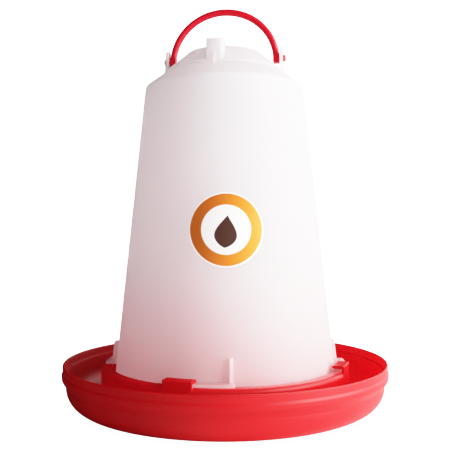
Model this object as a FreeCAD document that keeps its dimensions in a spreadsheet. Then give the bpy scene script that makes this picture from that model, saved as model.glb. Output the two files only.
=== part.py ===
import FreeCAD, Part
import Sketcher
import math
import os

# Poultry drinker of the siphon kind: a translucent conical tank that stands
# mouth down in a round drinking trough and is locked to it by four bayonet
# hooks, with a folding carry handle on top and a round label on its wall.
#
# Frame: +Z up, origin on the vertical axis at the face the trough rests on,
# X along the handle's pivot pins, -Y towards the front standing foot.
# Angles are in degrees, counter-clockwise from +X seen from above.

doc = FreeCAD.newDocument("poultry_drinker")

# --------------------------------------------------------------------------
# driving dimensions, millimetres and degrees: alias, value, note
# --------------------------------------------------------------------------
DIMENSIONS = [
    # tank wall
    ("tank_rim_z", 14.0, "height of the open rim above the resting face"),
    ("tank_rim_rad", 126.97, "outer radius at the open rim"),
    ("tank_sh_z", 357.8, "height of the shoulder edge"),
    ("tank_sh_rad", 90.1, "outer radius at the shoulder edge"),
    ("tank_wall", 2.2, "wall thickness"),
    ("tank_sh_fil", 4.5, "rounding of the shoulder edge"),
    ("tank_sh_in_fil", 2.4, "rounding of the shoulder on the inside"),
    ("cavity_under", 5.0, "overrun of the cavity's cut below the rim"),
    # domed top: two shallow cones with a small step between them
    ("step_low_rad", 66.2, "foot of the step, radius"),
    ("step_low_z", 375.6, "foot of the step, height"),
    ("step_low_fil", 2.0, "foot of the step, rounding"),
    ("step_top_rad", 64.8, "head of the step, radius"),
    ("step_top_z", 378.6, "head of the step, height"),
    ("step_top_fil", 1.2, "head of the step, rounding"),
    ("disc_rad", 40.8, "radius of the flat top"),
    ("disc_z", 398.3, "height of the flat top"),
    ("disc_fil", 2.5, "rounding of the flat top's edge"),
    # locking lugs and their upright ribs
    ("lug_z", 44.8, "underside of a lug"),
    ("lug_thk", 2.9, "thickness of a lug"),
    ("lug_rad", 136.0, "outer radius of a lug"),
    ("lug_deep", 14.5, "radial depth of a lug with its root in the wall"),
    ("lug_start", -99.5, "angle where a lug starts"),
    ("lug_end", -76.9, "angle where a lug ends"),
    ("rib_ang", -78.0, "angle of an upright rib"),
    ("rib_thk", 3.5, "thickness of a rib"),
    ("rib_low_rad", 129.3, "outer radius at a rib's foot"),
    ("rib_top_rad", 126.4, "outer radius at a rib's head"),
    ("rib_top_z", 71.0, "height of a rib's head"),
    ("rib_bevel", 1.6, "bevel of a rib's head"),
    ("rib_root", 1.2, "how far a rib reaches into the wall"),
    # outlet notches that set the water level
    ("notch_wide", 16.0, "width of an outlet notch"),
    ("notch_top_z", 28.0, "top of an outlet notch: the water level"),
    ("notch_corner", 5.0, "size of a notch's upper corner"),
    ("notch_inset", 1.5, "inset of the point midway round that corner"),
    ("notch_under", 3.0, "overrun of the notches' cut below the rim"),
    ("notch_cut", 320.0, "length of the cut through both notches"),
    # standing feet on the top
    ("foot_wide", 18.5, "width of a foot"),
    ("foot_in_rad", 49.0, "inner face of a foot"),
    ("foot_out_rad", 65.0, "outer face of a foot"),
    ("foot_top_z", 400.5, "top of a foot"),
    ("foot_root", 0.6, "how far a foot starts below the foot of the step"),
    ("foot_wall", 2.0, "wall of the hollow foot"),
    ("foot_hollow", 22.5, "depth of the cut that hollows a foot"),
    ("foot_corner", 1.3, "rounding of a foot's upright corners"),
    ("foot_fil", 0.9, "rounding of a foot's rim"),
    ("gus_thk", 2.6, "thickness of the gusset on a foot's outer face"),
    ("gus_rad", 70.5, "radius the gusset runs out to"),
    ("gus_top_z", 385.6, "head of the gusset on the foot's outer face"),
    ("gus_root", 1.0, "how far the gusset reaches into the foot"),
    # pivot ears
    ("ear_in", 64.3, "inner face of an ear"),
    ("ear_thk", 3.2, "thickness of an ear"),
    ("ear_half", 7.0, "half width of an ear's round head"),
    ("ear_base", 12.0, "half width of an ear's base"),
    ("ear_top_z", 404.0, "top of an ear"),
    ("ear_base_z", 372.0, "base of an ear, inside the dome"),
    ("pivot_z", 391.5, "height of the handle's pivot axis"),
    ("pivot_hole", 5.94, "diameter of the pivot holes"),
    ("pivot_cut", 200.0, "length of the cut through both ears"),
    # trough
    ("pan_floor", 3.0, "top of the trough's floor"),
    ("pan_recess", 0.8, "recess inside the resting ring"),
    ("pan_rest_rad", 146.0, "inner radius of the resting ring"),
    ("pan_low_rad", 178.6, "outer radius of the bowl"),
    ("pan_low_z", 27.0, "height where the outer wall flares"),
    ("pan_low_fil", 25.0, "rounding under the bowl"),
    ("pan_flare_fil", 3.0, "rounding where the outer wall flares"),
    ("pan_band_low", 34.2, "underside of the edge band"),
    ("pan_band_fil", 2.0, "rounding under the edge band"),
    ("pan_max_rad", 183.4, "largest radius"),
    ("pan_band_mid", 38.9, "top of the bulge"),
    ("pan_bulge_fil", 1.2, "rounding of the bulge"),
    ("pan_notch_z", 41.4, "line above the bulge"),
    ("pan_lip_rad", 182.4, "outer radius of the lip"),
    ("pan_top_z", 49.0, "top of the lip"),
    ("pan_lip_in", 179.9, "inner radius of the lip"),
    ("pan_lip_fil", 1.1, "rounding of the lip"),
    ("pan_ledge_z", 40.4, "height of the ledge inside the lip"),
    ("pan_in_rad", 176.5, "inner radius of the drinking channel's outer wall"),
    ("pan_in_fil", 22.0, "rounding at the bottom of the channel"),
    # socket ring that holds the tank
    ("ring_rad", 140.3, "outer radius of the socket ring"),
    ("ring_wall", 2.3, "wall of the socket ring"),
    ("ring_top_z", 44.5, "top of the socket ring"),
    ("ring_open", 127.9, "radius of the mouth of the socket ring"),
    ("ring_fil", 4.5, "rounding of the socket ring's shoulder"),
    ("ring_in_fil", 2.2, "rounding of the shoulder on the inside"),
    ("ring_foot_fil", 2.0, "rounding at the ring's outer foot"),
    ("ring_mouth_fil", 0.8, "rounding of the mouth's upper edge"),
    # bayonet hooks
    ("hook_ang", -100.5, "angle of the middle of a hook"),
    ("hook_half", 15.4, "half width of a hook"),
    ("hook_top_z", 51.2, "top of a hook"),
    ("hook_root", 6.0, "how far a hook starts below the ring's top"),
    ("hook_roof", 3.0, "thickness of a hook's roof"),
    ("hook_over", 4.0, "overrun of the opening's cut inside the mouth"),
    ("hook_side", 0.4, "overrun of the opening past each end of a hook"),
    ("hook_cut", 12.0, "depth of the opening's cut below the roof"),
    ("hook_fil", 1.0, "rounding of a hook's outer top edge"),
    # water passages at the foot of the socket ring
    ("port_arc", 6.5, "angle a water passage spans"),
    ("port_ang", -77.8, "angle of the middle of a water passage"),
    ("port_top_z", 11.0, "top of a water passage"),
    ("port_over_in", 1.5, "overrun of its cut inside the ring"),
    ("port_over_out", 3.0, "overrun of its cut outside the ring"),
    # carry handle, measured from its own pivot axis
    ("bail_half", 60.0, "half width of the arch's centre line"),
    ("bail_high", 57.1, "height of the arch's centre line"),
    ("bail_drop", 1.9, "the arch's centre below the pivot axis"),
    ("bail_sec_rad", 3.65, "half thickness of the section across the arch"),
    ("bail_sec_deep", 3.9, "half depth of the section"),
    ("leg_in", 56.45, "inner face of a leg end"),
    ("leg_out", 63.6, "outer face of a leg end"),
    ("leg_half", 4.0, "half depth of a leg end"),
    ("leg_top", 5.0, "height of the straight leg end above the pivot"),
    ("leg_rad", 6.0, "radius of a leg end's round tip about the pivot axis"),
    ("leg_fil", 0.9, "rounding of a leg end's tip"),
    ("pin_dia", 5.8, "diameter of a pivot pin"),
    ("pin_root", 1.0, "where a pin starts, outward of the leg's inner face"),
    ("pin_end", 68.0, "end of a pin's shank"),
    ("head_start", 67.7, "underside of a pin head"),
    ("head_end", 70.9, "crown of a pin head"),
    ("head_dia", 7.8, "diameter of a pin head"),
    # round label
    ("lab_dia", 76.0, "diameter of the label"),
    ("lab_thk", 0.25, "thickness of the label"),
    ("lab_gap", 0.03, "glue line between label and wall"),
    ("lab_ang", -80.1, "angle of the label's centre"),
    ("lab_z", 197.0, "height of the label's centre"),
    ("lab_margin", 6.0, "height of the label's skin beyond the label, each way"),
    ("lab_punch", 150.0, "length of the cylinder that cuts the label out"),
]

LUGS = 4  # lugs on the tank, and hooks on the trough
PORTS = 8
PAIR = 2


class Quantity:
    """A number together with the expression that gives it from the sheet."""

    def __init__(self, value, text):
        self.value = float(value)
        self.text = text

    @staticmethod
    def of(item):
        if isinstance(item, Quantity):
            return item
        return Quantity(item, "%.6g" % item if item >= 0 else "(%.6g)" % item)

    def __add__(self, other):
        other = Quantity.of(other)
        return Quantity(self.value + other.value, "(%s + %s)" % (self.text, other.text))

    def __sub__(self, other):
        other = Quantity.of(other)
        return Quantity(self.value - other.value, "(%s - %s)" % (self.text, other.text))

    def __mul__(self, other):
        other = Quantity.of(other)
        return Quantity(self.value * other.value, "(%s * %s)" % (self.text, other.text))

    def __truediv__(self, other):
        other = Quantity.of(other)
        return Quantity(self.value / other.value, "(%s / %s)" % (self.text, other.text))

    def __neg__(self):
        return Quantity(-self.value, "(0 - %s)" % self.text)


class Dimensions:
    """Holds each dimension of the sheet as a Quantity under its alias."""


dims = Dimensions()
sheet = doc.addObject("Spreadsheet::Sheet", "Dims")
for row, (alias, value, note) in enumerate(DIMENSIONS, start=1):
    sheet.set("A%d" % row, alias)
    sheet.set("B%d" % row, repr(value))
    sheet.setAlias("B%d" % row, alias)
    sheet.set("C%d" % row, note)
    setattr(dims, alias, Quantity(value, "Dims." + alias))
doc.recompute()


def bind(obj, prop, quantity):
    obj.setExpression(prop, Quantity.of(quantity).text)


# --------------------------------------------------------------------------
# sketches
# --------------------------------------------------------------------------
Z_DIR = FreeCAD.Vector(0, 0, 1)
CENTRE_POINT = FreeCAD.Vector(0, 0, 0)

# how a sketch constraint names points of geometry, the axes and the origin
START, END, CENTRE = 1, 2, 3
ROOT = -1
X_AXIS, Y_AXIS = -1, -2


def origin_item(body, role):
    return [item for item in body.Origin.OriginFeatures if item.Role == role][0]


def new_body(label):
    body = doc.addObject("PartDesign::Body", label)
    body.Label = label
    return body


def new_sketch(body, name, plane, lift=None):
    """Sketch on an origin plane, or lifted off it along the plane's normal."""
    sketch = body.newObject("Sketcher::SketchObject", name)
    sketch.AttachmentSupport = [(origin_item(body, plane), "")]
    sketch.MapMode = "FlatFace"
    if lift is not None:
        bind(sketch, "AttachmentOffset.Base.z", lift)
    return sketch


def point_at(x, y):
    return FreeCAD.Vector(Quantity.of(x).value, Quantity.of(y).value, 0)


def polar_point(radius, angle):
    return FreeCAD.Vector(radius * math.cos(angle), radius * math.sin(angle), 0)


def add_line(sketch, start, end):
    return sketch.addGeometry(Part.LineSegment(start, end), False)


def add_arc(sketch, centre, radius, start, end):
    """Arc from numbers, its angles in radians."""
    circle = Part.Circle(centre, Z_DIR, radius)
    return sketch.addGeometry(Part.ArcOfCircle(circle, start, end), False)


def constrain(sketch, *terms):
    sketch.addConstraint(Sketcher.Constraint(*terms))


def drive(sketch, *terms, size):
    """Add a dimension bound to the sheet; an angle's size is in degrees."""
    size = Quantity.of(size)
    value, text = size.value, size.text
    if terms[0] == "Angle":
        value, text = math.radians(value), "(%s) * 1 deg" % text
    index = sketch.addConstraint(Sketcher.Constraint(*terms, value))
    sketch.setExpression("Constraints[%d]" % index, text)


def pin_point(sketch, geometry, position, x, y):
    """Fix one point of a sketch at (x, y) from the origin."""
    for kind, size, zero_axis in (("DistanceX", x, Y_AXIS), ("DistanceY", y, X_AXIS)):
        if abs(Quantity.of(size).value) < 1e-9:
            constrain(sketch, "PointOnObject", geometry, position, zero_axis)
        else:
            drive(sketch, kind, ROOT, START, geometry, position, size=size)


def join_loop(sketch, pieces):
    """Join each piece's end to the next one's start, round to the first."""
    for piece, following in zip(pieces, pieces[1:] + pieces[:1]):
        constrain(sketch, "Coincident", piece, END, following, START)


def polygon(sketch, points):
    """Closed polygon, every corner bound to the sheet."""
    corners = [point_at(x, y) for x, y in points]
    sides = [add_line(sketch, start, end)
             for start, end in zip(corners, corners[1:] + corners[:1])]
    join_loop(sketch, sides)
    for side, (x, y) in zip(sides, points):
        pin_point(sketch, side, START, x, y)


def circle_at_height(sketch, height, radius):
    """Circle centred on the vertical sketch axis."""
    circle = Part.Circle(point_at(0, height), Z_DIR, radius.value)
    geometry = sketch.addGeometry(circle, False)
    pin_point(sketch, geometry, CENTRE, 0, height)
    drive(sketch, "Radius", geometry, size=radius)


def ring_piece(sketch, inner, outer, inner_span, outer_span):
    """Two arcs about the origin joined by two straight sides, which are returned.

    Each span holds an arc's start and end angle in radians.
    """
    arcs = [add_arc(sketch, CENTRE_POINT, radius.value, *span)
            for radius, span in ((inner, inner_span), (outer, outer_span))]
    sides = [add_line(sketch, polar_point(inner.value, inner_angle),
                      polar_point(outer.value, outer_angle))
             for inner_angle, outer_angle in zip(inner_span, outer_span)]
    for arc in arcs:
        constrain(sketch, "Coincident", arc, CENTRE, ROOT, START)
    for side, arc_end in zip(sides, (START, END)):
        constrain(sketch, "Coincident", side, START, arcs[0], arc_end)
        constrain(sketch, "Coincident", side, END, arcs[1], arc_end)
    for arc, radius in zip(arcs, (inner, outer)):
        drive(sketch, "Radius", arc, size=radius)
    return sides


def sector(sketch, inner, outer, start, end):
    """Ring sector between two radii and two angles, its sides radial."""
    span = (math.radians(start.value), math.radians(end.value))
    sides = ring_piece(sketch, inner, outer, span, span)
    for side, angle in zip(sides, (start, end)):
        constrain(sketch, "PointOnObject", ROOT, START, side)
        drive(sketch, "Angle", side, size=angle)


def block_sector(sketch, inner, outer, angle, half_width):
    """Ring sector whose two sides are parallel to its own middle radius."""
    middle = math.radians(angle.value)
    spans = []
    for radius in (inner, outer):
        spread = math.asin(half_width.value / radius.value)
        spans.append((middle - spread, middle + spread))
    for side in ring_piece(sketch, inner, outer, *spans):
        drive(sketch, "Angle", side, size=angle)
        drive(sketch, "Distance", ROOT, START, side, size=half_width)


def rounded_box(sketch, half_width, low, high, radius):
    """Rectangle with round corners, centred on the vertical sketch axis."""
    across = half_width - radius
    # corner centre x, y and the angle where its arc starts
    corners = [
        (across, low + radius, -90),
        (across, high - radius, 0),
        (-across, high - radius, 90),
        (-across, low + radius, 180),
    ]
    arcs = [add_arc(sketch, point_at(x, y), radius.value,
                    math.radians(start), math.radians(start + 90))
            for x, y, start in corners]
    lines = []
    for (x, y, start), (next_x, next_y, _) in zip(corners, corners[1:] + corners[:1]):
        offset = polar_point(radius.value, math.radians(start + 90))
        lines.append(add_line(sketch, point_at(x, y) + offset,
                              point_at(next_x, next_y) + offset))
    for arc, line, next_arc in zip(arcs, lines, arcs[1:] + arcs[:1]):
        constrain(sketch, "Tangent", arc, END, line, START)
        constrain(sketch, "Tangent", line, END, next_arc, START)
    for arc, (x, y, _) in zip(arcs, corners):
        pin_point(sketch, arc, CENTRE, x, y)
        drive(sketch, "Radius", arc, size=radius)


def require_solved(sketch):
    if sketch.solve() != 0:
        raise RuntimeError("sketch %s does not solve" % sketch.Name)


# --------------------------------------------------------------------------
# features
# --------------------------------------------------------------------------
def finish(body, feature):
    body.Tip = feature
    doc.recompute()
    return feature


def extrude(body, kind, sketch, length, name, symmetric=False):
    """Pad along the sketch normal, or Pocket against it."""
    require_solved(sketch)
    feature = body.newObject("PartDesign::" + kind, name)
    feature.Profile = sketch
    bind(feature, "Length", length)
    if symmetric:
        feature.SideType = "Symmetric"
    feature.Refine = False
    return finish(body, feature)


def revolve(body, kind, sketch, name, axis="Z_Axis"):
    """Full turn: a Revolution adds, a Groove cuts."""
    require_solved(sketch)
    feature = body.newObject("PartDesign::" + kind, name)
    feature.Profile = sketch
    feature.ReferenceAxis = (origin_item(body, axis), [""])
    feature.Angle = 360
    return finish(body, feature)


def polar(body, features, count, name):
    """Repeat features evenly about Z."""
    pattern = body.newObject("PartDesign::PolarPattern", name)
    pattern.Originals = features
    pattern.Axis = (origin_item(body, "Z_Axis"), [""])
    pattern.Angle = 360
    pattern.Occurrences = count
    pattern.Refine = False
    return finish(body, pattern)


def find_edges(body, test, purpose):
    """Names of the tip's edges that pass a test."""
    names = ["Edge%d" % index
             for index, edge in enumerate(body.Tip.Shape.Edges, start=1) if test(edge)]
    if not names:
        raise RuntimeError("%s: no edge found" % purpose)
    return names


def fillet_edges(body, names, radius, name):
    feature = body.newObject("PartDesign::Fillet", name)
    feature.Base = (body.Tip if body.Tip != feature else feature.BaseFeature, names)
    bind(feature, "Radius", radius)
    finish(body, feature)


def fillet_rings(body, name, radius, *corners):
    """Round the circular edges about Z at (radius, height) corners."""
    tolerance = 0.02
    names = []
    for corner in corners:
        ring_radius, ring_z = [Quantity.of(item).value for item in corner]

        def is_ring(edge):
            curve = edge.Curve
            return (isinstance(curve, Part.Circle)
                    and abs(curve.Axis.z) > 0.999
                    and abs(curve.Radius - ring_radius) < tolerance
                    and abs(curve.Center.z - ring_z) < tolerance
                    and abs(curve.Center.x) < tolerance
                    and abs(curve.Center.y) < tolerance)

        names += find_edges(body, is_ring, name)
    fillet_edges(body, names, radius, name)


# --------------------------------------------------------------------------
# reservoir tank: one translucent moulding
# --------------------------------------------------------------------------
WALL_SLOPE = (dims.tank_rim_rad - dims.tank_sh_rad) / (dims.tank_sh_z - dims.tank_rim_z)


def wall_rad(height):
    """Outer radius of the conical wall at a height."""
    return dims.tank_rim_rad - WALL_SLOPE * (Quantity.of(height) - dims.tank_rim_z)


def add_tank_form(tank):
    """Solid outer form; the cavity is cut later."""
    shoulder = (dims.tank_sh_rad, dims.tank_sh_z)
    step_foot = (dims.step_low_rad, dims.step_low_z)
    step_head = (dims.step_top_rad, dims.step_top_z)
    disc_edge = (dims.disc_rad, dims.disc_z)
    sketch = new_sketch(tank, "tank_outline", "XZ_Plane")
    polygon(sketch, [
        (0, dims.tank_rim_z),
        (dims.tank_rim_rad, dims.tank_rim_z),
        shoulder,
        step_foot,
        step_head,
        disc_edge,
        (0, dims.disc_z),
    ])
    revolve(tank, "Revolution", sketch, "tank_form")
    fillet_rings(tank, "shoulder_round", dims.tank_sh_fil, shoulder)
    fillet_rings(tank, "step_foot_round", dims.step_low_fil, step_foot)
    fillet_rings(tank, "step_head_round", dims.step_top_fil, step_head)
    fillet_rings(tank, "disc_edge_round", dims.disc_fil, disc_edge)


def add_lugs(tank):
    """Four locking lugs, each with an upright rib near its counter-clockwise end."""
    sketch = new_sketch(tank, "lug_plan", "XY_Plane", lift=dims.lug_z)
    sector(sketch, dims.lug_rad - dims.lug_deep, dims.lug_rad, dims.lug_start, dims.lug_end)
    lug = extrude(tank, "Pad", sketch, dims.lug_thk, "lug")

    sketch = new_sketch(tank, "rib_side", "XZ_Plane")
    polygon(sketch, [
        (wall_rad(dims.lug_z) - dims.rib_root, dims.lug_z),
        (dims.rib_low_rad, dims.lug_z),
        (dims.rib_top_rad, dims.rib_top_z - dims.rib_bevel),
        (dims.rib_top_rad - dims.rib_bevel, dims.rib_top_z),
        (wall_rad(dims.rib_top_z) - dims.rib_root, dims.rib_top_z),
    ])
    # the sketch's own y axis is the vertical one
    turn = FreeCAD.Rotation(FreeCAD.Vector(0, 1, 0), dims.rib_ang.value)
    sketch.AttachmentOffset = FreeCAD.Placement(CENTRE_POINT, turn)
    rib = extrude(tank, "Pad", sketch, dims.rib_thk, "rib", symmetric=True)
    polar(tank, [lug, rib], LUGS, "lug_ring")


def add_ears(tank):
    """Pivot ears on both sides: a round head on a base that widens downward."""
    half, base, base_z = dims.ear_half, dims.ear_base, dims.ear_base_z
    head_z = dims.ear_top_z - half
    sketch = new_sketch(tank, "ear_side", "YZ_Plane", lift=dims.ear_in)
    head = add_arc(sketch, point_at(0, head_z), half.value, 0, math.pi)
    back = add_line(sketch, point_at(-half, head_z), point_at(-base, base_z))
    bottom = add_line(sketch, point_at(-base, base_z), point_at(base, base_z))
    front = add_line(sketch, point_at(base, base_z), point_at(half, head_z))
    join_loop(sketch, [head, back, bottom, front])
    drive(sketch, "DistanceY", ROOT, START, head, CENTRE, size=head_z)
    pin_point(sketch, back, START, -half, head_z)
    pin_point(sketch, front, END, half, head_z)
    pin_point(sketch, bottom, START, -base, base_z)
    pin_point(sketch, bottom, END, base, base_z)
    ear = extrude(tank, "Pad", sketch, dims.ear_thk, "ear")
    polar(tank, [ear], PAIR, "ear_pair")


def add_feet(tank):
    """Standing feet at the front and the back, each with a gusset outside."""
    foot_base = dims.step_low_z - dims.foot_root
    sketch = new_sketch(tank, "foot_plan", "XY_Plane", lift=foot_base)
    rounded_box(sketch, dims.foot_wide / 2, -dims.foot_out_rad, -dims.foot_in_rad,
                dims.foot_corner)
    foot = extrude(tank, "Pad", sketch, dims.foot_top_z - foot_base, "foot")

    root_y = -(dims.foot_out_rad - dims.gus_root)
    sketch = new_sketch(tank, "gusset_side", "YZ_Plane")
    # y, z round the front gusset
    polygon(sketch, [
        (root_y, dims.gus_top_z),
        (-(dims.foot_out_rad + 0.3), dims.gus_top_z - 0.1),
        (-(dims.gus_rad - 0.3), dims.step_low_z - 2.0),
        (-dims.gus_rad, dims.step_low_z - 2.7),
        (-dims.gus_rad, dims.step_low_z - 4.2),
        (root_y, dims.step_low_z - 1.0),
    ])
    gusset = extrude(tank, "Pad", sketch, dims.gus_thk, "gusset", symmetric=True)
    polar(tank, [foot, gusset], PAIR, "foot_pair")

    def on_foot_top(edge):
        first, last = edge.ParameterRange
        inset = 1e-6 * (last - first)
        return all(abs(edge.valueAt(place).z - dims.foot_top_z.value) < 1e-3
                   for place in (first + inset, (first + last) / 2, last - inset))

    fillet_edges(tank, find_edges(tank, on_foot_top, "foot_round"), dims.foot_fil,
                 "foot_round")


def cut_cavity(tank):
    wall = dims.tank_wall
    cavity_low = dims.tank_rim_z - dims.cavity_under
    # outer corner radius and height, then the inward and downward offset to
    # the cavity's corner as shares of the wall thickness
    corners = [
        (wall_rad(cavity_low), cavity_low, 1.006, 0),
        (dims.tank_sh_rad, dims.tank_sh_z, 0.95, 0.541),
        (dims.step_low_rad, dims.step_low_z, 0.6, 0.8),
        (dims.step_top_rad, dims.step_top_z, 0.64, 0.773),
        (dims.disc_rad, dims.disc_z, 0.36, 1),
    ]
    outline = [(radius - wall * inward, height - wall * down)
               for radius, height, inward, down in corners]
    shoulder = outline[1]
    sketch = new_sketch(tank, "cavity_outline", "XZ_Plane")
    polygon(sketch, [(0, cavity_low)] + outline + [(0, dims.disc_z - wall)])
    revolve(tank, "Groove", sketch, "cavity")
    fillet_rings(tank, "shoulder_round_inside", dims.tank_sh_in_fil, shoulder)


def hollow_feet(tank):
    """Hollow the feet, open to the inside of the tank."""
    wall = dims.foot_wall
    half = dims.foot_wide / 2 - wall
    outer_y = -(dims.foot_out_rad - wall)
    inner_y = -(dims.foot_in_rad + wall)
    sketch = new_sketch(tank, "foot_core", "XY_Plane", lift=dims.foot_top_z - wall)
    polygon(sketch, [(-half, outer_y), (half, outer_y), (half, inner_y), (-half, inner_y)])
    core = extrude(tank, "Pocket", sketch, dims.foot_hollow, "foot_hollow")
    polar(tank, [core], PAIR, "foot_hollow_pair")


def cut_pivot_holes(tank):
    sketch = new_sketch(tank, "pivot_plan", "YZ_Plane")
    circle_at_height(sketch, dims.pivot_z, dims.pivot_hole / 2)
    extrude(tank, "Pocket", sketch, dims.pivot_cut, "pivot_holes", symmetric=True)


def cut_outlet_notches(tank):
    """Notches at the front and the back: air enters here when the level falls."""
    half, top = dims.notch_wide / 2, dims.notch_top_z
    right = [
        (half, dims.tank_rim_z - dims.notch_under),
        (half, top - dims.notch_corner),
        (half - dims.notch_inset, top - dims.notch_inset),
        (half - dims.notch_corner, top),
    ]
    left = [(-x, z) for x, z in reversed(right)]
    sketch = new_sketch(tank, "notch_front", "XZ_Plane")
    polygon(sketch, right + left)
    extrude(tank, "Pocket", sketch, dims.notch_cut, "outlet_notches", symmetric=True)


def build_tank():
    tank = new_body("reservoir_tank")
    add_tank_form(tank)
    add_lugs(tank)
    add_ears(tank)
    add_feet(tank)
    # cut after the additions, so that nothing stands proud inside the tank
    cut_cavity(tank)
    hollow_feet(tank)
    cut_pivot_holes(tank)
    cut_outlet_notches(tank)
    return tank


# --------------------------------------------------------------------------
# drinking trough: one red moulding
# --------------------------------------------------------------------------
RING_IN = dims.ring_rad - dims.ring_wall


def add_pan_form(pan):
    """Bowl with its edge band, drinking channel and socket ring."""
    bowl_edge = (dims.pan_low_rad, 0)
    flare = (dims.pan_low_rad + 0.3, dims.pan_low_z)
    band_edge = (dims.pan_max_rad - 0.2, dims.pan_band_low)
    bulge = (dims.pan_max_rad, dims.pan_band_mid)
    lip_outer = (dims.pan_lip_rad, dims.pan_top_z)
    lip_inner = (dims.pan_lip_in, dims.pan_top_z)
    channel_edge = (dims.pan_in_rad - 0.3, dims.pan_floor)
    ring_foot = (dims.ring_rad, dims.pan_floor)
    ring_shoulder = (dims.ring_rad, dims.ring_top_z)
    ring_mouth = (dims.ring_open, dims.ring_top_z)
    ring_ceiling = dims.ring_top_z - dims.ring_wall
    inner_shoulder = (RING_IN, ring_ceiling)
    sketch = new_sketch(pan, "pan_outline", "XZ_Plane")
    # radius, height
    polygon(sketch, [
        (0, dims.pan_recess),
        (dims.pan_rest_rad, dims.pan_recess),
        (dims.pan_rest_rad + 0.8, 0),
        bowl_edge,
        flare,
        band_edge,
        bulge,
        (dims.pan_lip_rad, dims.pan_notch_z),
        lip_outer,
        lip_inner,
        (dims.pan_lip_in, dims.pan_ledge_z),
        (dims.pan_in_rad + 0.1, dims.pan_ledge_z - 0.9),
        channel_edge,
        ring_foot,
        ring_shoulder,
        ring_mouth,
        (dims.ring_open, ring_ceiling),
        inner_shoulder,
        (RING_IN, dims.pan_floor),
        (0, dims.pan_floor),
    ])
    revolve(pan, "Revolution", sketch, "pan_form")
    fillet_rings(pan, "bowl_round", dims.pan_low_fil, bowl_edge)
    fillet_rings(pan, "channel_round", dims.pan_in_fil, channel_edge)
    fillet_rings(pan, "flare_round", dims.pan_flare_fil, flare)
    fillet_rings(pan, "band_round", dims.pan_band_fil, band_edge)
    fillet_rings(pan, "bulge_round", dims.pan_bulge_fil, bulge)
    fillet_rings(pan, "lip_round", dims.pan_lip_fil, lip_outer, lip_inner)
    fillet_rings(pan, "ring_shoulder_round", dims.ring_fil, ring_shoulder)
    fillet_rings(pan, "ring_foot_round", dims.ring_foot_fil, ring_foot)
    fillet_rings(pan, "ring_shoulder_inside", dims.ring_in_fil, inner_shoulder)
    fillet_rings(pan, "ring_mouth_round", dims.ring_mouth_fil, ring_mouth)


def add_hooks(pan):
    """Bayonet hooks: an outer wall flush with the ring and a roof over the lug."""
    hook_base = dims.ring_top_z - dims.hook_root
    sketch = new_sketch(pan, "hook_plan", "XY_Plane", lift=hook_base)
    block_sector(sketch, dims.ring_open, dims.ring_rad, dims.hook_ang, dims.hook_half)
    hook = extrude(pan, "Pad", sketch, dims.hook_top_z - hook_base, "hook_block")

    sketch = new_sketch(pan, "hook_window", "XY_Plane", lift=dims.hook_top_z - dims.hook_roof)
    block_sector(sketch, dims.ring_open - dims.hook_over, RING_IN,
                 dims.hook_ang, dims.hook_half + dims.hook_side)
    window = extrude(pan, "Pocket", sketch, dims.hook_cut, "hook_opening")
    polar(pan, [hook, window], LUGS, "hook_ring")
    fillet_rings(pan, "hook_round", dims.hook_fil, (dims.ring_rad, dims.hook_top_z))


def cut_ports(pan):
    """Water passages through the foot of the socket ring."""
    half_arc = dims.port_arc / 2
    sketch = new_sketch(pan, "port_plan", "XY_Plane", lift=dims.port_top_z)
    sector(sketch, RING_IN - dims.port_over_in, dims.ring_rad + dims.port_over_out,
           dims.port_ang - half_arc, dims.port_ang + half_arc)
    port = extrude(pan, "Pocket", sketch, dims.port_top_z - dims.pan_floor, "port")
    polar(pan, [port], PORTS, "port_ring")


def build_trough():
    pan = new_body("drinking_trough")
    add_pan_form(pan)
    add_hooks(pan)
    cut_ports(pan)
    return pan


# --------------------------------------------------------------------------
# carry handle: one red moulding, drawn about its own pivot axis
# --------------------------------------------------------------------------
def add_arch(bail):
    """Elliptical section swept along half an ellipse."""
    half, drop = dims.bail_half, dims.bail_drop
    line = new_sketch(bail, "arch_line", "XZ_Plane")
    ellipse = Part.Ellipse(point_at(0, -drop), half.value, dims.bail_high.value)
    arch = line.addGeometry(Part.ArcOfEllipse(ellipse, 0, math.pi), False)
    # exposes the long axis as the next geometry, then the short one
    line.exposeInternalGeometry(arch)
    pin_point(line, arch, CENTRE, 0, -drop)
    pin_point(line, arch, START, half, -drop)
    pin_point(line, arch + 2, START, 0, dims.bail_high - drop)
    constrain(line, "PointOnObject", arch, END, arch + 1)
    doc.recompute()
    require_solved(line)

    section = new_sketch(bail, "arch_section", "XY_Plane", lift=-drop)
    inner_x = half - dims.bail_sec_rad
    ellipse = Part.Ellipse(point_at(half, dims.bail_sec_deep), point_at(inner_x, 0),
                           point_at(half, 0))
    oval = section.addGeometry(ellipse, False)
    section.exposeInternalGeometry(oval)
    pin_point(section, oval, CENTRE, half, 0)
    pin_point(section, oval + 1, START, half, dims.bail_sec_deep)
    drive(section, "DistanceX", ROOT, START, oval + 2, START, size=inner_x)
    require_solved(section)
    doc.recompute()

    pipe = bail.newObject("PartDesign::AdditivePipe", "arch")
    pipe.Profile = section
    pipe.Spine = (line, ["Edge1"])
    finish(bail, pipe)


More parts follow.
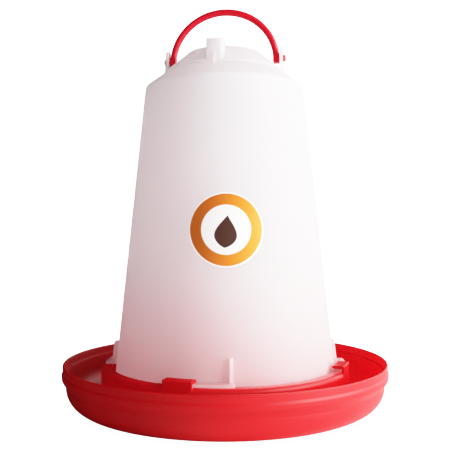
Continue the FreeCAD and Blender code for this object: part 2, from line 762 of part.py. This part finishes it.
def add_leg_end(bail):
    """Straight leg end, its tip round about the pivot axis so it swings clear."""
    half, top, radius = dims.leg_half, dims.leg_top, dims.leg_rad
    tip_z = -math.sqrt(radius.value ** 2 - half.value ** 2)
    sketch = new_sketch(bail, "leg_side", "YZ_Plane", lift=dims.leg_in)
    tip = add_arc(sketch, CENTRE_POINT, radius.value,
                  math.atan2(tip_z, -half.value), math.atan2(tip_z, half.value))
    back = add_line(sketch, point_at(half, tip_z), point_at(half, top))
    head = add_line(sketch, point_at(half, top), point_at(-half, top))
    front = add_line(sketch, point_at(-half, top), point_at(-half, tip_z))
    join_loop(sketch, [tip, back, head, front])
    constrain(sketch, "Coincident", tip, CENTRE, ROOT, START)
    drive(sketch, "Radius", tip, size=radius)
    constrain(sketch, "Vertical", back)
    constrain(sketch, "Vertical", front)
    pin_point(sketch, head, START, half, top)
    pin_point(sketch, head, END, -half, top)
    return extrude(bail, "Pad", sketch, dims.leg_out - dims.leg_in, "leg_end")


def add_pin(bail):
    pin_start = dims.leg_in + dims.pin_root
    sketch = new_sketch(bail, "pin_section", "YZ_Plane", lift=pin_start)
    circle_at_height(sketch, 0, dims.pin_dia / 2)
    return extrude(bail, "Pad", sketch, dims.pin_end - pin_start, "pin")


def add_pin_head(bail):
    """Domed head, turned about the pivot axis."""
    start, end, radius = dims.head_start, dims.head_end, dims.head_dia / 2
    sketch = new_sketch(bail, "head_profile", "XZ_Plane")
    # x along the pivot axis, radius about it
    polygon(sketch, [
        (start, 0),
        (start, radius - 0.3),
        (start + 0.3, radius),
        (start + 1.1, radius),
        (start + 2.3, radius - 0.75),
        (end - 0.35, radius - 1.9),
        (end, radius - 3.2),
        (end, 0),
    ])
    return revolve(bail, "Revolution", sketch, "head", axis="X_Axis")


def build_handle():
    bail = new_body("carry_handle")
    add_arch(bail)
    side = [add_leg_end(bail), add_pin(bail), add_pin_head(bail)]
    polar(bail, side, PAIR, "side_pair")

    def on_leg_tip(edge):
        curve = edge.Curve
        return (isinstance(curve, Part.Circle)
                and abs(curve.Axis.x) > 0.999
                and abs(curve.Radius - dims.leg_rad.value) < 1e-3
                and any(abs(abs(curve.Center.x) - face.value) < 1e-3
                        for face in (dims.leg_in, dims.leg_out)))

    fillet_edges(bail, find_edges(bail, on_leg_tip, "leg_end_round"), dims.leg_fil,
                 "leg_end_round")
    bind(bail, "Placement.Base.z", dims.pivot_z)
    return bail


# --------------------------------------------------------------------------
# round label: a thin patch that lies on the conical wall
# --------------------------------------------------------------------------
def wall_cone(name, offset):
    """Cone round the label's height, a radial offset outside the tank wall."""
    low = dims.lab_z - dims.lab_dia / 2 - dims.lab_margin
    height = dims.lab_dia + dims.lab_margin * 2
    cone = doc.addObject("Part::Cone", name)
    bind(cone, "Radius1", wall_rad(low) + offset)
    bind(cone, "Radius2", wall_rad(low + height) + offset)
    bind(cone, "Height", height)
    bind(cone, "Placement.Base.z", low)
    return cone


def build_label():
    skin_out = wall_cone("label_skin_out", dims.lab_gap + dims.lab_thk)
    skin_in = wall_cone("label_skin_in", dims.lab_gap)
    skin = doc.addObject("Part::Cut", "label_skin")
    skin.Base = skin_out
    skin.Tool = skin_in

    # the punch points outward, square to the sloping wall
    punch = doc.addObject("Part::Cylinder", "label_punch")
    bind(punch, "Radius", dims.lab_dia / 2)
    bind(punch, "Height", dims.lab_punch)
    tilt = math.degrees(math.atan(WALL_SLOPE.value))
    turn = FreeCAD.Rotation(Z_DIR, dims.lab_ang.value)
    lean = FreeCAD.Rotation(FreeCAD.Vector(0, 1, 0), 90.0 - tilt)
    punch.Placement = FreeCAD.Placement(CENTRE_POINT, turn * lean)
    bind(punch, "Placement.Base.z", dims.lab_z - wall_rad(dims.lab_z) * WALL_SLOPE)

    label = doc.addObject("Part::Common", "round_label")
    label.Base = skin
    label.Tool = punch
    label.Label = "round_label"
    return label


# --------------------------------------------------------------------------
# build, check, then write one file for each piece
# --------------------------------------------------------------------------
pieces = [build_tank(), build_trough(), build_handle(), build_label()]
doc.recompute()

failed = [obj.Name for obj in doc.Objects
          if any(state in ("Invalid", "Error") for state in obj.State)]
if failed:
    raise RuntimeError("failed objects: " + ", ".join(failed))
for piece in pieces:
    shape = piece.Shape
    if shape.isNull() or not shape.isValid():
        raise RuntimeError(piece.Label + " has no valid shape")
    if len(shape.Solids) != 1:
        raise RuntimeError("%s has %d solids" % (piece.Label, len(shape.Solids)))

os.makedirs("parts", exist_ok=True)
for piece in pieces:
    piece.Shape.exportStep(os.path.join("parts", piece.Label + ".step"))
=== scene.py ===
"""Drinker: a pale plastic reservoir tank standing in a red trough, with a red carry
handle and a round label.

The axis of the tank is +Z and the trough stands on the floor at z = 0. The label and the
camera are both on the -Y side, turned a little towards +X. Metres throughout.
"""
import bpy, math
from mathutils import Vector, Matrix

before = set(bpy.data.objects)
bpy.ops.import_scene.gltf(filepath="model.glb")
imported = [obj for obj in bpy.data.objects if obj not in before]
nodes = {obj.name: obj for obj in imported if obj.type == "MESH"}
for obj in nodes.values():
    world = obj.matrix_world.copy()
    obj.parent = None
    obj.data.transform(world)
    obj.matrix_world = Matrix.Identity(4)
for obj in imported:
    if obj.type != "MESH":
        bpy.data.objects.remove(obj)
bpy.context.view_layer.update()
scene = bpy.context.scene

# ---------------------------------------------------------------- directions
CAM_AZIMUTH = math.radians(9.2)
# level directions as the camera sees them: to its right, and from the object towards it
RIGHT = Vector((math.cos(CAM_AZIMUTH), math.sin(CAM_AZIMUTH), 0.0))
FRONT = Vector((math.sin(CAM_AZIMUTH), -math.cos(CAM_AZIMUTH), 0.0))


def view_vector(right=0.0, front=0.0, up=0.0):
    """A vector given by its parts along the camera's level directions and +Z."""
    return RIGHT * right + FRONT * front + Vector((0, 0, up))


# ---------------------------------------------------------------- node helpers
class Nodes:
    """Builds the node tree of a material or world.

    Wherever a method takes a value, it may be a number, a colour or another node's output.
    """

    def __init__(self, owner, output_kind="ShaderNodeOutputMaterial"):
        owner.use_nodes = True
        self.owner = owner
        self.tree = owner.node_tree
        self.tree.nodes.clear()
        self.output = self.node(output_kind)

    def feed(self, socket, value):
        if isinstance(value, bpy.types.NodeSocket):
            self.tree.links.new(value, socket)
        elif socket.type == "RGBA":
            socket.default_value = (*value, 1.0)
        else:
            socket.default_value = value

    def node(self, kind, inputs=None, **settings):
        """Add a node; inputs maps socket names or indices to values."""
        node = self.tree.nodes.new(kind)
        for key, setting in settings.items():
            setattr(node, key, setting)
        for key, value in (inputs or {}).items():
            self.feed(node.inputs[key], value)
        return node

    def out(self, kind, inputs=None, **settings):
        """Add a node and return its first output."""
        return self.node(kind, inputs, **settings).outputs[0]

    def finish(self, surface):
        self.feed(self.output.inputs["Surface"], surface)
        return self.owner

    # numbers
    def calc(self, operation, *values):
        return self.out("ShaderNodeMath", dict(enumerate(values)), operation=operation)

    def add(self, first, second):
        return self.calc("ADD", first, second)

    def product(self, first, *others):
        for other in others:
            first = self.calc("MULTIPLY", first, other)
        return first

    def remap(self, value, over, to=(0.0, 1.0), smooth=True):
        """Take the range `over` to the range `to`, clamped at both ends."""
        return self.out("ShaderNodeMapRange", {
            "Value": value, "From Min": over[0], "From Max": over[1],
            "To Min": to[0], "To Max": to[1],
        }, interpolation_type="SMOOTHSTEP" if smooth else "LINEAR")

    def along(self, direction, x, y, unit=1.0):
        """The part of (x, y) along a level direction, counted in units."""
        return self.add(self.product(x, direction.x / unit), self.product(y, direction.y / unit))

    def length(self, x, y):
        return self.calc("SQRT", self.add(self.product(x, x), self.product(y, y)))

    # vectors
    def position(self):
        return self.node("ShaderNodeTexCoord").outputs["Object"]

    def split(self, vector):
        return tuple(self.node("ShaderNodeSeparateXYZ", {0: vector}).outputs)

    def combine(self, x, y, z):
        return self.out("ShaderNodeCombineXYZ", {0: x, 1: y, 2: z})

    def dot(self, vector, direction):
        node = self.node("ShaderNodeVectorMath", {0: vector, 1: direction},
                         operation="DOT_PRODUCT")
        return node.outputs["Value"]

    # textures and colours
    def noise(self, vector, scale, detail, rough=0.5):
        return self.out("ShaderNodeTexNoise", {
            "Scale": scale, "Detail": detail, "Roughness": rough, "Vector": vector})

    def cloud_colour(self, cloud, low, high):
        """Colour from low to high over the middle of a noise's range."""
        node = self.node("ShaderNodeValToRGB", {"Fac": cloud})
        for element, place, colour in zip(node.color_ramp.elements, (0.30, 0.70), (low, high)):
            element.position = place
            element.color = (*colour, 1.0)
        return node.outputs["Color"]

    def mix(self, share, first, second, blend="MIX"):
        return self.node("ShaderNodeMix", {0: share, 6: first, 7: second},
                         data_type="RGBA", blend_type=blend).outputs[2]

    # normals
    def bevel(self, radius):
        return self.out("ShaderNodeBevel", {"Radius": radius}, samples=4)

    def bump(self, height, strength, distance, normal=None):
        inputs = {"Strength": strength, "Distance": distance, "Height": height}
        if normal is not None:
            inputs["Normal"] = normal
        return self.out("ShaderNodeBump", inputs)

    # shaders
    def emission(self, colour, strength):
        return self.out("ShaderNodeEmission", {"Color": colour, "Strength": strength})

    def mix_shader(self, share, first, second):
        return self.out("ShaderNodeMixShader", {0: share, 1: first, 2: second})

    def add_shader(self, first, second):
        return self.out("ShaderNodeAddShader", {0: first, 1: second})

    def plastic(self, colour, rough, specular, normal, through_colour, through_share):
        """A plastic surface that also lets light through its wall."""
        surface = self.out("ShaderNodeBsdfPrincipled", {
            "Base Color": colour, "Roughness": rough, "IOR": 1.50,
            "Specular IOR Level": specular, "Normal": normal})
        through = self.out("ShaderNodeBsdfTranslucent", {
            "Color": through_colour, "Normal": normal})
        return self.mix_shader(through_share, surface, through)


# ---------------------------------------------------------------- materials
WHITE = (1.0, 1.0, 1.0)
GRAIN_SCALE = 900.0         # fine grain of all the moulded skins


def tank_material():
    s = Nodes(bpy.data.materials.new("tank_plastic"))
    position = s.position()
    x, y, z = s.split(position)
    angle = s.calc("ARCTAN2", y, x)
    # cloudy colour of natural plastic, drawn out a little along the mould's pull
    drawn = s.combine(x, y, s.product(z, 0.30))
    colour = s.cloud_colour(s.noise(drawn, scale=9.0, detail=3.0),
                            low=(0.936, 0.920, 0.926), high=(0.955, 0.942, 0.948))
    # painted red bounce light from the trough: low on the wall the colour turns pink and a faint
    # red glow is added
    low = s.remap(z, over=(0.045, 0.175), to=(1.0, 0.0))
    painted_bounce_colour = s.mix(1.0, colour, (1.0, 0.943, 0.947), "MULTIPLY")
    colour = s.mix(low, colour, painted_bounce_colour)

    # very shallow waves, faint draw lines and the grain of the moulded skin
    grain = s.noise(position, scale=GRAIN_SCALE, detail=2.0, rough=0.6)
    wave = s.noise(drawn, scale=10.0, detail=1.0, rough=0.4)
    lines = s.noise(s.combine(s.product(angle, 40.0), 0.0, s.product(z, 1.0)),
                    scale=1.0, detail=2.0)
    normal = s.bevel(radius=0.0007)
    normal = s.bump(wave, strength=0.12, distance=0.0010, normal=normal)
    normal = s.bump(lines, strength=0.05, distance=0.0003, normal=normal)
    normal = s.bump(grain, strength=0.06, distance=0.00010, normal=normal)
    rough = s.remap(s.noise(position, scale=30.0, detail=3.0),
                    over=(0.3, 0.7), to=(0.42, 0.52), smooth=False)
    wall = s.plastic(
        colour, rough, specular=0.35, normal=normal,
        through_colour=s.mix(1.0, colour, (1.0, 0.990, 0.990), "MULTIPLY"),
        through_share=0.74)
    # painted red glow: emission low on the wall that stands in for light from the trough
    painted_red_glow = s.emission(colour=(1.0, 0.16, 0.18), strength=s.product(low, 0.02))
    wall = s.add_shader(wall, painted_red_glow)

    # painted reflection: to glossy rays the wall is an emission, dull on the left and bright on
    # the right, which paints a highlight on the red parts
    side = s.along(RIGHT, x, y)
    painted_reflection = s.emission(colour=(1.0, 0.93, 0.94),
                          strength=s.remap(side, over=(-0.05, 0.09), to=(0.0, 4.5)))
    path = s.node("ShaderNodeLightPath")
    return s.finish(s.mix_shader(path.outputs["Is Glossy Ray"], wall, painted_reflection))


def painted_trough_glow(s, position, painted_ring_strength):
    """Painted glow: emission that stands in for light reaching the trough's surfaces through its
    walls and the tank.
    """
    x, y, z = s.split(position)
    radius = s.length(x, y)
    side = s.along(RIGHT, x, y)
    # painted light: the socket ring glows as if passing on light from inside the tank, on its
    # shaded left side
    ring = s.product(
        s.remap(radius, over=(0.150, 0.145)),
        s.remap(z, over=(0.012, 0.030)),
        s.remap(side, over=(0.045, -0.02), to=(0.0, painted_ring_strength)))
    # painted light: the inside of the pan's wall on the bright right side glows as if lit from
    # outside
    normal_x, normal_y, _ = s.split(s.node("ShaderNodeNewGeometry").outputs["Normal"])
    facing_right = s.along(RIGHT, normal_x, normal_y)
    pan_wall = s.product(
        s.remap(side, over=(0.085, 0.125)),
        s.remap(facing_right, over=(-0.15, -0.55)),
        s.remap(radius, over=(0.148, 0.153), to=(0.0, 0.16)))
    return s.emission(colour=(1.0, 0.030, 0.050), strength=s.add(ring, pan_wall))


def red_material(name, dark, light, rough_range, painted_ring_glow=None):
    s = Nodes(bpy.data.materials.new(name))
    position = s.position()
    colour = s.cloud_colour(s.noise(position, scale=10.0, detail=2.0), low=dark, high=light)
    grain = s.noise(position, scale=GRAIN_SCALE, detail=2.0, rough=0.6)
    wave = s.noise(position, scale=9.0, detail=1.0, rough=0.4)
    normal = s.bevel(radius=0.0008)
    normal = s.bump(wave, strength=0.10, distance=0.0010, normal=normal)
    normal = s.bump(grain, strength=0.05, distance=0.00008, normal=normal)
    rough = s.remap(s.noise(position, scale=24.0, detail=3.0),
                    over=(0.3, 0.7), to=rough_range, smooth=False)
    # thin moulded walls let some red light through
    surface = s.plastic(colour, rough, specular=0.50, normal=normal,
                        through_colour=(0.94, 0.006, 0.026), through_share=0.28)
    # painted glow on the socket ring and on the pan's inner wall
    if painted_ring_glow is not None:
        surface = s.add_shader(surface, painted_trough_glow(s, position, painted_ring_glow))
    return s.finish(surface)


# the label's centre lies in this direction from the axis, at this height
LABEL_ANGLE = math.radians(-80.1)
LABEL_Z = 0.197
LABEL_RADIUS = 0.038
LABEL_TURN = math.radians(-5.8)         # the print is turned in the label's plane
LABEL_TANGENT = Vector((-math.sin(LABEL_ANGLE), math.cos(LABEL_ANGLE), 0.0))
# the print, in label radii from the label's centre
BAND_OUTER, BAND_INNER = 0.955, 0.66    # coloured band, white outside and inside it
PRINT_EDGE = 0.012                      # half the softness of the band's edges
DROP_SHIFT = 0.14                       # the drop's origin is this far below the centre
DROP_BOTTOM, DROP_TOP = -0.34, 0.52     # from that origin
DROP_END = 0.005                        # half the softness of the drop's two ends
DROP_HALF_WIDTH = 0.30
DROP_TAPER, DROP_FULLNESS = 1.45, 0.72  # powers that draw out the point, round the sides
LABEL_WHITE = (0.90, 0.87, 0.84)
BAND_LEFT = (0.47, 0.100, 0.003)
BAND_RIGHT = (0.80, 0.265, 0.008)
DROP_BROWN = (0.075, 0.030, 0.020)


def drop_mask(s, u, v):
    """One inside a plain drop, round below and drawn to a point above; zero outside."""
    height = s.add(v, DROP_SHIFT)
    rise = s.remap(height, over=(DROP_BOTTOM, DROP_TOP), smooth=False)
    phase = s.product(s.calc("POWER", s.calc("SUBTRACT", 1.0, rise), DROP_TAPER), math.pi)
    half_width = s.product(s.calc("POWER", s.calc("SINE", phase), DROP_FULLNESS),
                           DROP_HALF_WIDTH)
    inside = s.calc("SUBTRACT", half_width, s.calc("ABSOLUTE", u))
    mask = s.remap(inside, over=(-0.010, 0.010))
    ends = s.product(
        s.remap(height, over=(DROP_BOTTOM - DROP_END, DROP_BOTTOM + DROP_END), smooth=False),
        s.remap(height, over=(DROP_TOP - DROP_END, DROP_TOP + DROP_END), to=(1.0, 0.0),
                smooth=False))
    return s.product(mask, ends)


def label_material():
    s = Nodes(bpy.data.materials.new("label_film"))
    position = s.position()
    x, y, z = s.split(position)
    # flat coordinates on the label in units of its radius, u level and v up, then turned
    level = s.along(LABEL_TANGENT, x, y, unit=LABEL_RADIUS)
    up = s.product(s.calc("SUBTRACT", z, LABEL_Z), 1.0 / LABEL_RADIUS)
    cosine, sine = math.cos(LABEL_TURN), math.sin(LABEL_TURN)
    u = s.add(s.product(level, cosine), s.product(up, sine))
    v = s.calc("SUBTRACT", s.product(up, cosine), s.product(level, sine))
    radius = s.length(u, v)

    def beyond(limit):
        return s.remap(radius, over=(limit - PRINT_EDGE, limit + PRINT_EDGE))

    colour = s.mix(s.remap(u, over=(-0.8, 0.9)), BAND_LEFT, BAND_RIGHT)
    speckle = s.noise(position, scale=2200.0, detail=1.0)
    colour = s.mix(s.remap(speckle, over=(0.35, 0.65), to=(0.0, 0.02), smooth=False),
                   colour, LABEL_WHITE)
    colour = s.mix(beyond(BAND_OUTER), colour, LABEL_WHITE)
    colour = s.mix(s.calc("SUBTRACT", 1.0, beyond(BAND_INNER)), colour, LABEL_WHITE)
    colour = s.mix(drop_mask(s, u, v), colour, DROP_BROWN)

    rough = s.remap(s.noise(position, scale=90.0, detail=3.0, rough=0.6),
                    over=(0.3, 0.7), to=(0.30, 0.42), smooth=False)
    normal = s.bump(s.noise(position, scale=500.0, detail=2.0), strength=0.06, distance=0.0001)
    return s.finish(s.out("ShaderNodeBsdfPrincipled", {
        "Base Color": colour, "Roughness": rough,
        "Specular IOR Level": 0.45, "Normal": normal}))


piece_materials = {
    "reservoir_tank": tank_material(),
    "drinking_trough": red_material(
        "trough_plastic", dark=(0.590, 0.0028, 0.0090), light=(0.625, 0.0038, 0.0110),
        rough_range=(0.40, 0.50), painted_ring_glow=0.08),
    "carry_handle": red_material(
        "handle_plastic", dark=(0.660, 0.0060, 0.0260), light=(0.700, 0.0080, 0.0300),
        rough_range=(0.28, 0.36)),
    "round_label": label_material(),
}
for piece, material in piece_materials.items():
    slots = nodes[piece].data.materials
    slots.clear()
    slots.append(material)

# ---------------------------------------------------------------- floor
FLOOR_HALF = 8.0
FLOOR_DROP = 0.0003         # keeps the paper just clear of the trough's underside
BACKDROP_STRENGTH = 2.4     # white as the camera sees it, in the floor and the world


def floor_material():
    """White paper: even white to the camera, ordinary side-lit paper to the light."""
    s = Nodes(bpy.data.materials.new("floor_paper"))
    paper = s.out("ShaderNodeBsdfDiffuse", {"Color": (0.85, 0.85, 0.85)})
    x, y, _ = s.split(s.position())
    side = s.along(RIGHT, x, y)
    front = s.along(FRONT, x, y)
    # extra light off the paper: none to the left and behind, more close to the trough
    lit = s.add(side, s.product(s.calc("SUBTRACT", front, 0.19), 0.45))
    near = s.remap(s.length(x, y), over=(0.17, 0.30), to=(1.7, 1.0))
    lift = s.emission(WHITE, s.product(near, s.remap(lit, over=(-0.13, 0.10), to=(0.0, 0.74))))
    # what the glossy walls see of the paper: dark to the left, bright to the right
    painted_reflection = s.emission(WHITE, s.remap(side, over=(0.0, 0.20), to=(0.02, 2.2)))
    lifted_paper = s.add_shader(paper, lift)
    # a faint contact shade where the trough stands on the paper
    occlusion = s.node("ShaderNodeAmbientOcclusion", {"Distance": 0.05}, samples=8)
    seen = s.emission(WHITE, s.remap(occlusion.outputs["AO"], over=(0.1, 0.9),
                                     to=(1.7, BACKDROP_STRENGTH), smooth=False))
    path = s.node("ShaderNodeLightPath")
    camera_ray = path.outputs["Is Camera Ray"]
    unseen = s.mix_shader(path.outputs["Is Glossy Ray"], lifted_paper, painted_reflection)
    surface = s.mix_shader(camera_ray, unseen, seen)
    # seen from underneath the paper is clear, so the underside of the object shows
    backfacing = s.node("ShaderNodeNewGeometry").outputs["Backfacing"]
    clear = s.out("ShaderNodeBsdfTransparent")
    return s.finish(s.mix_shader(s.product(backfacing, camera_ray), surface, clear))


def add_floor():
    mesh = bpy.data.meshes.new("floor")
    corners = [(x * FLOOR_HALF, y * FLOOR_HALF, 0)
               for x, y in ((-1, -1), (1, -1), (1, 1), (-1, 1))]
    mesh.from_pydata(corners, [], [(0, 1, 2, 3)])
    floor = bpy.data.objects.new("floor", mesh)
    floor.location = (0, 0, -FLOOR_DROP)
    scene.collection.objects.link(floor)
    floor.data.materials.append(floor_material())


add_floor()


# ---------------------------------------------------------------- world and light
def build_world():
    """White to the camera, a soft side-lit room to everything else."""
    world = bpy.data.worlds.new("studio")
    scene.world = world
    s = Nodes(world, "ShaderNodeOutputWorld")
    path = s.node("ShaderNodeLightPath")
    backdrop = s.out("ShaderNodeBackground", {"Color": WHITE, "Strength": BACKDROP_STRENGTH})
    direction = s.node("ShaderNodeTexCoord").outputs["Generated"]
    room_side = view_vector(right=0.86, front=0.45, up=0.10).normalized()
    room = s.remap(s.dot(direction, room_side), over=(-0.60, 0.90), to=(0.03, 1.15))
    # reflections see more contrast: a dark room with the bright side to the right
    shine_side = view_vector(right=0.95, front=-0.28, up=0.15).normalized()
    shine = s.remap(s.dot(direction, shine_side), over=(0.38, 1.00), to=(0.01, 5.0))
    # less light from straight above
    overhead = s.remap(s.split(direction)[2], over=(0.25, 0.95), to=(1.0, 0.45))
    strength = s.out("ShaderNodeMix", {
        0: path.outputs["Is Glossy Ray"], 2: s.product(room, overhead), 3: shine,
    }, data_type="FLOAT")
    lighting = s.out("ShaderNodeBackground", {
        "Strength": strength, "Color": (1.0, 0.995, 1.0)})
    s.finish(s.mix_shader(path.outputs["Is Camera Ray"], lighting, backdrop))


def add_key_light():
    """A large soft box to the right and in front of the drinker."""
    light = bpy.data.lights.new("key_box", "AREA")
    light.shape = "RECTANGLE"
    light.size, light.size_y = 1.5, 1.8
    light.energy = 86.0
    light.color = WHITE
    box = bpy.data.objects.new("key_box", light)
    place = view_vector(right=1.66, front=0.72, up=0.62)
    target = Vector((0, 0, 0.2))
    box.location = place
    box.rotation_euler = (target - place).to_track_quat("-Z", "Y").to_euler()
    scene.collection.objects.link(box)
    box.visible_camera = False


build_world()
add_key_light()

# ---------------------------------------------------------------- camera
CAM_DISTANCE = 0.81075
CAM_HEIGHT = 0.1952
CAM_ROLL = math.radians(-0.15)


def add_camera():
    lens = bpy.data.cameras.new("camera")
    camera = bpy.data.objects.new("camera", lens)
    camera.location = view_vector(front=CAM_DISTANCE, up=CAM_HEIGHT)
    camera.rotation_euler = (Matrix.Rotation(CAM_AZIMUTH, 3, "Z")
                             @ Matrix.Rotation(math.radians(90), 3, "X")
                             @ Matrix.Rotation(CAM_ROLL, 3, "Z")).to_euler()
    lens.lens = 56.4
    lens.sensor_width = 36.0
    lens.sensor_fit = "HORIZONTAL"
    lens.shift_y = 0.0142
    lens.shift_x = 0.0004
    lens.clip_start = 0.02
    lens.clip_end = 50
    scene.collection.objects.link(camera)
    scene.camera = camera


add_camera()

# ---------------------------------------------------------------- tone
# (scene brightness, shown brightness): a short toe and a soft shoulder, as film has,
# with the bright tones pressed together below white
TONE_CURVE = (
    (0.008, 0.011), (0.020, 0.031), (0.05, 0.092), (0.09, 0.176), (0.15, 0.30),
    (0.30, 0.58), (0.425, 0.78), (0.55, 0.885), (0.70, 0.945), (0.85, 0.98),
)
WHITE_LEVEL = 2.0           # scene brightness at the right end of the curve

view = scene.view_settings
view.view_transform = "Standard"
view.look = "None"
view.exposure = 0.0
view.gamma = 1.0
view.use_curve_mapping = True
mapping = view.curve_mapping
mapping.white_level = (WHITE_LEVEL,) * 3
combined_curve = mapping.curves[3]
for scene_value, shown_value in TONE_CURVE:
    combined_curve.points.new(scene_value, shown_value)
mapping.update()
